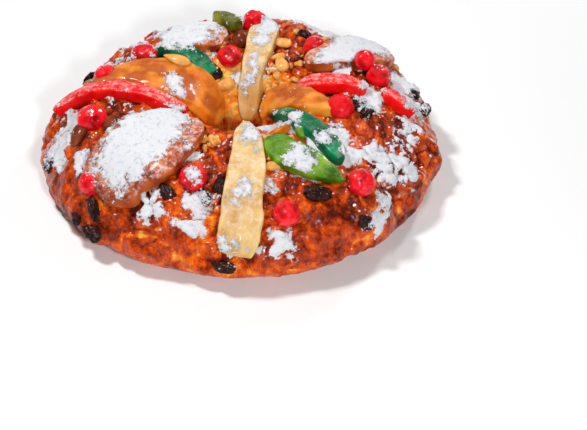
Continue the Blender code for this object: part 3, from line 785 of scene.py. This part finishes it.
for number, (name, finish, thickness, power, ends, stations) in enumerate(FRUIT + FRUIT_BITS):
    points = fruit_points(stations, thickness, power, ends, seed=100 + 10 * number)
    vein = value_noise(points, 7 * MM, 200 + number)
    node = name if number < len(FRUIT) else "ring_loaf"
    skin(name + "_fruit", points, False, finish, [node], vein=vein)
print("pieces of fruit:", len(FRUIT), "and small bits:", len(FRUIT_BITS))

# %% [markdown]
# Places of the smaller toppings
#
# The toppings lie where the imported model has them, so their places are the same numbers: two angles on the
# ring, then sizes in millimetres. Places that are kept apart from the shapes are easy to change.

# %% Where the toppings are
# Each cherry is around, across, diameter and lift, and each raisin around, across, length, width and turn.
# A nut has its name first, and its lift last.
CHERRIES = (
    (146, 82, 19, 5), (166, 70, 17, 4), (198, 66, 21, 5), (221, 40, 17, 2), (255, 68, 18, 5),
    (101, 114, 17, 5), (85, 75, 18, 6), (47, 88, 17, 5), (20, 76, 15, 9), (13, 69, 18, 5), (345, 91, 19, 5),
    (312, 48, 18, 5), (286, 45, 18, 5), (120, 12, 18, 2), (70, 10, 17, 1),
)
RAISINS = (
    (199, 22, 13, 8, 20), (227, 25, 15, 7, 50), (222, 9, 12, 8, 80), (229, 6, 15, 10, 95),
    (248, 56, 16, 9, 60), (260, 59, 12, 8, 40), (265, 66, 16, 7, 5), (268, 8, 13, 8, 80),
    (298, 53, 17, 10, 60), (308, 24, 11, 8, 20), (59, 80, 12, 9, 70), (14, 38, 14, 9, 80),
    (8, 28, 14, 9, 60), (352, 84, 12, 9, 20), (347, 77, 13, 8, 80), (119, 124, 11, 9, 0),
    (104, 20, 13, 9, 70), (48, 18, 14, 9, 30), (150, 18, 13, 8, 60),
)
NUTS = (
    ("hazelnut", 91, 94, 14, 13, 0, 3),
    ("almond_skin_1", 202, 54, 19, 11, 50, 2),
    ("almond_skin_2", 206, 74, 20, 12, 60, 2),
    ("almond_1", 146, 104, 19, 9, 15, 11),
    ("almond_2", 112, 138, 15, 9, 90, 2),
    ("almond_3", 66, 92, 15, 9, 100, 2),
    ("almond_4", 287, 79, 14, 7, 80, 3),
    ("almond_5", 52, 112, 15, 9, 60, 2),
)

# %% [markdown]
# Glace cherries
#
# A glace cherry is a pitted cherry soaked in syrup. It is a little flat, with the dimple of its stalk,
# sometimes the hole of its pit, and soft wrinkles. Each is a ball whose radius is changed by these, set on
# the dough.

# %% Cherries
def place_on_dough(around, across, turn, lift):
    """Matrix that sets Z along the dough's normal, and X at turn degrees from straight down the side."""
    angles = at_degrees(around, across)
    base = smooth_ring(*angles)
    normal = Vector(ring_directions(*angles)[2][0])
    ahead = Vector(smooth_ring(angles[0], angles[1] - 0.01)[0] - base[0])
    ahead = (ahead - normal * ahead.dot(normal)).normalized()
    ahead.rotate(Matrix.Rotation(math.radians(turn), 3, normal))
    spot = Vector(base[0]) + normal * (float(broad_relief(base, angles[1])[0]) + lift)
    axes = Matrix((ahead, normal.cross(ahead), normal)).transposed()
    return Matrix.Translation(spot) @ axes.to_4x4()


def ball_points(rows, columns):
    """A unit ball as a grid from its upper pole to its lower one, turned so that its faces point out."""
    down = np.linspace(0, np.pi, rows + 2)[1:-1][:, None]
    turn = np.linspace(0, 2 * np.pi, columns, endpoint=False)[None, :]
    return np.stack([np.sin(down) * np.cos(turn), np.sin(down) * np.sin(turn), np.cos(down) + 0 * turn], -1)


def set_down(points, around, across, turn, lift):
    """Points carried to their place on the dough."""
    place = place_on_dough(around, across, turn, lift)
    return points @ np.array(place.to_3x3()).T + np.array(place.translation)


def ridges(points, cell, seed):
    """Ridged noise, 1 - 2|n|: sharp folds where smooth noise n crosses zero."""
    return 1 - 2 * np.abs(value_noise(points, cell, seed))


cherry_skin = fruit_finish(
    "cherry_skin", (0.88, 0.012, 0.024), (0.76, 0.003, 0.010), (0.42, 0.001, 0.004),
    shine=1.0, radius=(1.6, 0.10, 0.1), frost=0.05,
)

for number, (around, across, size, lift) in enumerate(CHERRIES, 1):
    ball = ball_points(60, 80)
    beside = np.hypot(ball[..., 0], ball[..., 1])
    stalk = 0.16 if number % 4 == 0 else 0.05
    dimple = stalk * np.exp(-((beside / 0.2) ** 2)) * (ball[..., 2] > 0)
    shape = ball * np.array([1, 1, 0.9])
    shape[..., 2] -= dimple
    shape *= (1 + 0.06 * value_noise(ball + number * 3.7, 0.9, NOISE_SEED))[..., None]
    toward = ball @ unit(np.array([math.cos(number * 2.1), math.sin(number * 2.1), 0.55]))
    pit = 0.16 * np.exp(-((1 - toward) / 0.02) ** 2) * (number % 3 == 0)
    shape *= (1 - pit)[..., None]
    folds = ridges(ball * np.array([1, 1, 0.5]), 0.45, number + 20)
    small = 0.022 * value_noise(ball, 0.28, number) + 0.010 * value_noise(ball, 0.12, number + 40)
    shape *= (1 + 0.045 * folds + small)[..., None]
    points = set_down(shape * size / 2 * MM, around, across, 37 * number, lift * MM)
    vein = value_noise(ball, 0.5, number + 60)
    skin(f"glace_cherry_{number:02d}", points, False, cherry_skin, [f"cherry_{number:02d}"], vein=vein)
print("cherries:", len(CHERRIES))

# %% [markdown]
# Raisins
#
# A raisin is a grape that shrank, so its skin is too large for it and folds. A pebble with ridged noise has
# the same sharp folds. Those in the crust are nearly black and a little shiny.

# %% Raisins
def raisin_colour(tree):
    """Black-brown with a warmer tone in patches of noise."""
    return ramp(tree, noise(tree, 2.5, 3), ((0.35, (0.006, 0.002, 0.002)), (0.7, (0.045, 0.010, 0.007))))


raisin_skin = make_finish(
    "raisin_skin", raisin_colour, lambda tree: noise(tree, 1.2, 3), 0.3,
    patches(3, 0.30, 0.55), patches(4, 0.3, 0.6), soft=0, soft_radius=(1, 1, 1), coat_rough=0.18,
)

for number, (around, across, length, width, turn) in enumerate(RAISINS, 1):
    ball = ball_points(48, 64)
    shape = ball * (1 + 0.14 * value_noise(ball + number * 5.3, 0.7, NOISE_SEED))[..., None]
    warped = ball + 0.35 * three_noises(ball, 0.7, (number + 90, number + 120, number + 150))
    folds, small_folds = ridges(warped, 0.5, number + 80), ridges(warped, 0.24, number + 180)
    shape *= (0.94 + 0.20 * folds + 0.11 * small_folds)[..., None]
    size = np.array([length, width, width * 0.8]) * MM
    points = set_down(shape * size / 2, around, across, turn, 1.5 * MM)
    skin(f"raisin_skin_{number:02d}", points, False, raisin_skin, [f"raisin_{number:02d}"], lift_sugar=0.2)
print("raisins:", len(RAISINS))

# %% [markdown]
# Nuts
#
# Almonds are flat eggs with a pointed end and fine lengthwise grooves, in their brown skins or blanched to
# cream, and a hazelnut is nearly round. One shape serves them all: a ball laid on its side, which is drawn
# to a point where the nut is long.

# %% Nuts
def nut_finish(name, pale, deep, groove):
    """A nut's finish: two tones in patches, with fine bumps."""
    return make_finish(
        name, lambda tree: ramp(tree, noise(tree, 3.5, 4, 0.6), ((0.32, deep), (0.68, pale))),
        lambda tree: noise(tree, 1.3, 3), groove,
        patches(4, 0.32, 0.6), patches(4, 0.3, 0.6), soft=0.3, soft_radius=(1, 0.6, 0.3),
    )


cream_nut = nut_finish("cream_nut", (0.84, 0.46, 0.13), (0.62, 0.24, 0.045), 0.3)
brown_nut = nut_finish("brown_nut", (0.24, 0.048, 0.012), (0.075, 0.012, 0.005), 0.5)


def nut_shape(rows, columns, long_nut):
    """A ball laid on its side, narrower and more pointed at one end, with grooves along it."""
    ball = ball_points(rows, columns)
    shape = ball[..., [2, 0, 1]].copy()
    narrowing = 1 - 0.28 * shape[..., 0] * long_nut
    grooves = 1 + 0.02 * value_noise(ball * np.array([1, 1, 0.15]), 0.16, 5)
    shape[..., 1:] *= (narrowing * grooves)[..., None]
    shape[..., 0] += 0.12 * long_nut * np.maximum(shape[..., 0], 0) ** 6
    return shape


for name, around, across, length, width, turn, lift in NUTS:
    long_nut = length > width * 1.2
    thickness = width * (0.62 if long_nut else 1)
    points = nut_shape(44, 56, long_nut) * np.array([length, width, thickness]) / 2 * MM
    points = set_down(points, around, across, turn, lift * MM)
    finish = brown_nut if name in ("hazelnut", "almond_skin_1", "almond_skin_2") else cream_nut
    skin(name + "_kernel", points, False, finish, [name], lift_sugar=0.3)
print("nuts:", len(NUTS))

# %% [markdown]
# The loaf
#
# One closed grid covers the whole loaf, with most of its columns on top and few under the foot, where
# nothing shows. The relief moves each point along the smooth ring's normal. A drift of sugar fills the
# small hollows under it, so the relief is weaker there, but for the creases.

# %% How the dough meets the toppings
def collars(points):
    """Dough that rose round each pressed-in topping: a ring-shaped swelling, exp(-((distance - r) / w)^2)."""
    pressed = [(row[0], row[1], row[2] / 2) for row in CHERRIES]
    pressed += [(row[0], row[1], (row[2] + row[3]) / 4) for row in RAISINS]
    pressed += [(row[1], row[2], (row[3] + row[4]) / 4) for row in NUTS if row[6] < 5]
    height = np.zeros(points.shape[:-1])
    for around, across, half in pressed:
        middle = smooth_ring(*at_degrees(around, across))[0]
        distance = np.linalg.norm(points - middle, axis=-1) / MM
        height = np.maximum(height, np.exp(-(((distance - half - 0.5) / 2.6) ** 2)))
    return height * (1.0 + 0.7 * value_noise(points, 6 * MM, 77)) * 1.7 * MM


def under_fruit(points):
    """How far in under laid fruit a point is, 0 to 1: its distance from a path less the half width there."""
    least = np.full(points.shape[:-1], 99.0)
    for *_, stations in FRUIT:
        at = smooth_path(stations, np.linspace(0, 1, 28))
        middles = smooth_ring(np.radians(at[:, 0]), np.radians(at[:, 1]))
        for middle, half in zip(middles, at[:, 3]):
            least = np.minimum(least, np.linalg.norm(points - middle, axis=-1) / MM - half)
    return smooth_step(0, -2.5, least)


# %% Loaf surface
AROUND_STEPS, TOP_STEPS, FOOT_STEPS = 560, 148, 28
# The top runs between these degrees of the section, a little under the belly on both sides
TOP_START, TOP_END = -25, 188
SUGAR_FILLS = 0.6


def even_steps(low, high, count):
    """Angles from low to high degrees, evenly along the section: its running length, read backwards."""
    angles = np.radians(np.linspace(low, high, 2000))
    radius, height = section(angles)
    run = np.concatenate([[0], np.cumsum(np.hypot(np.diff(radius), np.diff(height)))])
    return np.interp(np.linspace(0, run[-1], count, endpoint=False), run, angles)


across_line = np.concatenate([
    even_steps(TOP_START, TOP_END, TOP_STEPS), even_steps(TOP_END, TOP_START + 360, FOOT_STEPS)
])
around_line = np.linspace(0, 2 * np.pi, AROUND_STEPS, endpoint=False)
around_grid, across_grid = np.meshgrid(around_line, across_line, indexing="ij")


def browning_and_shade(base, across, broad, crease, cracks):
    """How brown the crust is, 0 to 1, with painted shade in the creases.

    Blots, golden cracks, golden down the hole, and darker towards the left and right ends.
    """
    # The 0.36 x crease term is painted shade: it darkens the creases between the pebbles
    bake = 0.585 + 0.015 * broad / MM + 0.36 * crease - 0.40 * cracks
    for number, (strength, width) in enumerate(((0.06, 34), (0.14, 13), (0.10, 5))):
        bake += strength * value_noise(base, width * MM, 51 + number)
    bake += 0.07 * smooth_step(60, 120, np.abs(base[..., 0]) / MM)
    down_hole = smooth_step(98, 135, np.degrees(across))
    back_half = smooth_step(-20, 45, base[..., 1] / MM)
    return np.clip(bake - down_hole * (0.12 + 0.45 * back_half), 0, 1)


loaf_base = smooth_ring(around_grid, across_grid)
broad = broad_relief(loaf_base, across_grid)
fine, crease, cracks = fine_relief(loaf_base, across_grid)
loaf_normals = ring_directions(around_grid, across_grid)[2]
drifted = smooth_step(0.0, 0.4, sugar_cover(loaf_base, loaf_normals)) * (1 - 0.6 * crease)
height = broad + fine * (1 - SUGAR_FILLS * drifted) + collars(loaf_base)
covered = under_fruit(loaf_base)
height = height * (1 - covered) + np.minimum(height, bed_height(loaf_base) + 2 * MM) * covered
loaf_points = loaf_base + loaf_normals * height[..., None]
bake = browning_and_shade(loaf_base, across_grid, broad, crease, cracks)
loaf = skin("loaf", loaf_points, True, crust, ["ring_loaf"], less_sugar=1.4 * crease - 0.34, bake=bake)
print("loaf faces:", len(loaf.data.polygons), "fine relief in mm:", fine.min() / MM, fine.max() / MM)

# %% [markdown]
# Small nuts in the crust
#
# Pine nuts and chopped nuts are baked into the crust, most of them near the hole, and are too small to be
# nodes of their own. Each kind is one mesh: a stack of small grids, each turned and set down by its own
# matrix.

# %% Pine nuts and chopped nuts
# Each pine nut is around, across and turn
PINE_NUTS = (
    (254, 101, 30), (245, 101, 100), (283, 70, 20), (288, 92, 70), (60, 106, 130), (72, 120, 40),
    (52, 70, 10), (122, 104, 60), (330, 62, 110), (240, 50, 45), (180, 50, 60), (318, 52, 20), (96, 30, 0),
    (30, 36, 75),
)


def set_down_all(shapes, spots, lift):
    """A stack of shapes, each carried to its own place: around, across and turn."""
    return np.stack([set_down(shape, *spot, lift) for shape, spot in zip(shapes, spots)])


pine_shape = nut_shape(22, 28, 1.0) * np.array([5.5, 2.8, 2.6]) * MM
pine_points = set_down_all([pine_shape] * len(PINE_NUTS), PINE_NUTS, 0.8 * MM)
skin("pine_nut_kernels", pine_points, False, cream_nut, ["ring_loaf"], lift_sugar=0.2)

chance = np.random.default_rng(12)
# Each field of chopped nuts is around, its spread, across, its spread, and how many
CHIP_FIELDS = (
    (60, 20, 108, 14, 34), (108, 12, 112, 14, 18), (255, 8, 102, 5, 6), (288, 7, 96, 6, 14),
    (325, 16, 100, 12, 10), (200, 40, 55, 22, 8),
)
chip_spots = np.concatenate([
    np.stack([
        chance.normal(around, spread, count),
        chance.normal(across, reach, count),
        chance.uniform(0, 180, count),
    ], -1)
    for around, spread, across, reach, count in CHIP_FIELDS
])
ball = ball_points(14, 18)
chip_count = len(chip_spots)
chip_sizes = chance.uniform(1.2, 3.0, (chip_count, 1, 1, 1)) * MM
chip_sizes = chip_sizes * chance.uniform(0.6, 1.3, (chip_count, 1, 1, 3))
strewn = ball[None] + chance.uniform(0, 90, (chip_count, 1, 1, 1))
uneven = 1 + 0.45 * value_noise(strewn, 0.7, 71) + 0.15 * value_noise(strewn, 0.3, 72)
chip_shapes = ball[None] * uneven[..., None]
chip_points = set_down_all(chip_shapes * chip_sizes, chip_spots.tolist(), 0.9 * MM)
skin("chopped_nut_bits", chip_points, False, cream_nut, ["ring_loaf"], lift_sugar=0.2)
print("pine nuts:", len(PINE_NUTS), "chopped bits:", chip_count)

# %% [markdown]
# Crumbs of sugar
#
# A drift of powder sugar ends in crumbs that stand out from the crust and cast small shadows. They are
# strewn by chance over the points of all skins, most where the cover is near zero and a few anywhere.

# %% Sugar crumbs
def powder_colour(tree):
    """Plain white, under the white that every finish already mixes in."""
    return mix_colour(tree, noise(tree, 2, 2), SUGAR_WHITE, (0.79, 0.80, 0.85, 1))


powder = make_finish(
    "powder_sugar", powder_colour, lambda tree: noise(tree, 0.8, 3), 0.5,
    patches(2, 0.85, 0.95, start=0, end=1), patches(2, 0.0, 0.05), soft=0.15, soft_radius=(1, 1, 1),
)
CRUMBS, CRUMB_ROWS, CRUMB_COLUMNS = 5400, 3, 6
SMALLEST_CRUMB, CRUMB_RANGE = 0.22 * MM, 0.75 * MM
EDGE_COVER, EDGE_SPREAD, ANYWHERE = 0.05, 0.16, 0.006

skin_points, skin_normals, skin_cover = (np.concatenate(part) for part in zip(*SKINS))
edge_weight = ANYWHERE + np.exp(-(((skin_cover - EDGE_COVER) / EDGE_SPREAD) ** 2))
edge_weight *= skin_normals[:, 2] > 0.1
chosen = chance.choice(len(skin_points), CRUMBS, replace=False, p=edge_weight / edge_weight.sum())
crumb_sizes = SMALLEST_CRUMB + CRUMB_RANGE * chance.random((CRUMBS, 1, 1, 1)) ** 3
uneven = 1 + 0.35 * chance.uniform(-1, 1, (CRUMBS, CRUMB_ROWS, CRUMB_COLUMNS, 1))
jitter = chance.normal(0, 0.5 * MM, (CRUMBS, 3))
jitter -= skin_normals[chosen] * (jitter * skin_normals[chosen]).sum(1, keepdims=True)
crumb_middles = skin_points[chosen] + jitter + skin_normals[chosen] * 0.1 * MM
crumb_points = ball_points(CRUMB_ROWS, CRUMB_COLUMNS) * uneven * crumb_sizes + crumb_middles[:, None, None]
add_piece("sugar_crumbs", crumb_points, False, powder, [], sugar=1.0)
print("sugar crumbs:", CRUMBS)

# %% [markdown]
# Camera, light and floor
#
# The camera stands in front and above, where the photograph was taken from. A small square light high on
# the left makes the glints, one in front opens the shadows, and one behind on the right draws the far rim.
# The floor is plain and pale.

# %% Stage
LENS_MM, CAMERA_PLACE, TILT, ROLL = 84.14, (0.0383, -0.7722, 0.6307), 48.49, 0.76
camera = new_object("camera", bpy.data.cameras.new("camera"))
camera.data.lens = LENS_MM
camera.data.sensor_width = 36
tilt, roll = Matrix.Rotation(math.radians(TILT), 4, "X"), Matrix.Rotation(math.radians(ROLL), 4, "Z")
camera.matrix_world = Matrix.Translation(CAMERA_PLACE) @ tilt @ roll
bpy.context.scene.camera = camera

LIGHT_SIZE = 0.12
# Each light is its name, place, the height over the floor's middle that it aims at, and power in watts
LIGHTS = (
    ("key_light", (-0.35, 0.05, 0.80), 0.03, 5.4),
    ("front_light", (0.25, -0.85, 0.60), 0.03, 6.6),
    ("back_light", (0.45, 0.60, 0.55), 0.05, 2.8),
)
for name, place, aim, power in LIGHTS:
    lamp = bpy.data.lights.new(name, "AREA")
    lamp.size, lamp.energy = LIGHT_SIZE, power
    light = new_object(name, lamp)
    light.location = place
    light.rotation_euler = (Vector((0, 0, aim)) - Vector(place)).to_track_quat("-Z", "Y").to_euler()

world = bpy.data.worlds.new("studio")
world.use_nodes = True
sky = world.node_tree.nodes["Background"].inputs
sky["Color"].default_value = (1, 1, 1, 1)
sky["Strength"].default_value = 0.10
bpy.context.scene.world = world
bpy.context.scene.view_settings.view_transform = "Standard"

floor_mesh = bpy.data.meshes.new("floor")
floor_mesh.from_pydata([(-3, -3, 0), (3, -3, 0), (3, 3, 0), (-3, 3, 0)], [], [(0, 1, 2, 3)])
floor = new_object("floor", floor_mesh)
floor_finish = bpy.data.materials.new("floor_paint")
floor_finish.use_nodes = True
paint = floor_finish.node_tree.nodes["Principled BSDF"].inputs
paint["Base Color"].default_value = (0.86, 0.86, 0.86, 1)
paint["Roughness"].default_value = 0.8
floor_mesh.materials.append(floor_finish)
floor.location.z = -0.5 * MM
